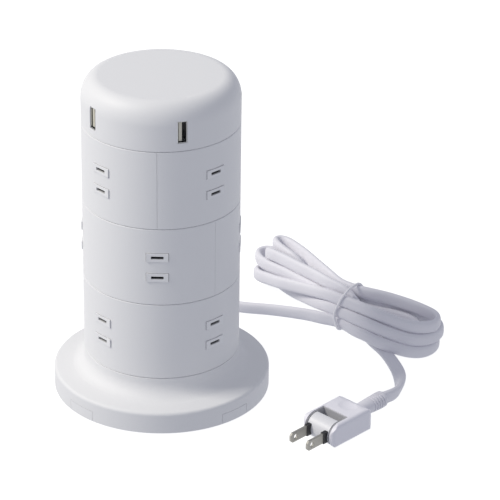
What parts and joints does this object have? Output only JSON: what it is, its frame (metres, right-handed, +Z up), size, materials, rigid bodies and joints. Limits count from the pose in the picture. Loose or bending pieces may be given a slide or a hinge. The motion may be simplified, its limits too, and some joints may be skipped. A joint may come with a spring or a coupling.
{
  "type": "tower power strip",
  "caption": "Round tower power strip with stacked outlet tiers, a USB charging cap, a wide base and a bundled flat cord ending in a swing plug.",
  "frame": {"origin": "on the tower's axis, at the bottom of the rubber feet", "axes": "+Z up the tower's axis; -Y is the way the middle tier's front outlet faces; the cord leaves along +Y"},
  "size_m": [0.232, 0.2326, 0.199],
  "materials": {
    "shell_white": "fine satin white moulding",
    "base_white": "fine satin white moulding",
    "core_white": "satin white moulding",
    "foot_rubber": "matte dark rubber",
    "screw_steel": "bright zinc plate",
    "contact_brass": "bare brass strip",
    "live_red": "red insulated wire",
    "neutral_white": "white insulated wire",
    "board_green": "green solder mask",
    "usb_steel": "stamped plated steel",
    "tongue_cream": "cream moulding",
    "tape_yellow": "yellow wrapped tape",
    "can_black": "black sleeve",
    "cord_white": "soft satin vinyl",
    "tie_white": "white coated wire",
    "plug_white": "satin white moulding",
    "drum_white": "satin white moulding",
    "blade_nickel": "nickel plated brass",
    "sleeve_black": "black insulating moulding"
  },
  "bodies": {
    "power_strip": {"base_cover": "base_white", "base_plate": "base_white", "rubber_feet": "foot_rubber", "base_screws": "screw_steel", "cord_clamp": "core_white", "clamp_screws": "screw_steel", "shell_lower_a": "shell_white", "shell_lower_b": "shell_white", "shell_middle_a": "shell_white", "shell_middle_b": "shell_white", "shell_upper_a": "shell_white", "shell_upper_b": "shell_white", "core_lower": "core_white", "core_middle": "core_white", "core_upper": "core_white", "live_strip_lower": "contact_brass", "live_strip_middle": "contact_brass", "live_strip_upper": "contact_brass", "neutral_strip_lower": "contact_brass", "neutral_strip_middle": "contact_brass", "neutral_strip_upper": "contact_brass", "live_riser": "live_red", "neutral_riser": "neutral_white", "tie_rods": "screw_steel", "usb_cap": "shell_white", "usb_board": "board_green", "board_screws": "screw_steel", "usb_shells": "usb_steel", "usb_tongues": "tongue_cream", "transformer": "tape_yellow", "capacitors": "can_black", "cord_inner": "cord_white", "cord_bush": "cord_white", "cord_lead": "cord_white", "cord_hank": "cord_white", "cord_tie": "tie_white", "cord_tail": "cord_white", "plug_body": "plug_white", "plug_liner": "plug_white", "plug_relief": "cord_white"},
    "plug_prongs": {"plug_drum": "drum_white", "plug_blades": "blade_nickel", "blade_sleeves": "sleeve_black"}
  },
  "joints": [
    {"name": "plug_swing", "type": "hinge", "parent": "power_strip", "child": "plug_prongs", "pos_m": [0.0979, -0.0655, 0.0078], "axis": [-0.7373, 0.6756, 0], "range_deg": [-90, 90]}
  ]
}
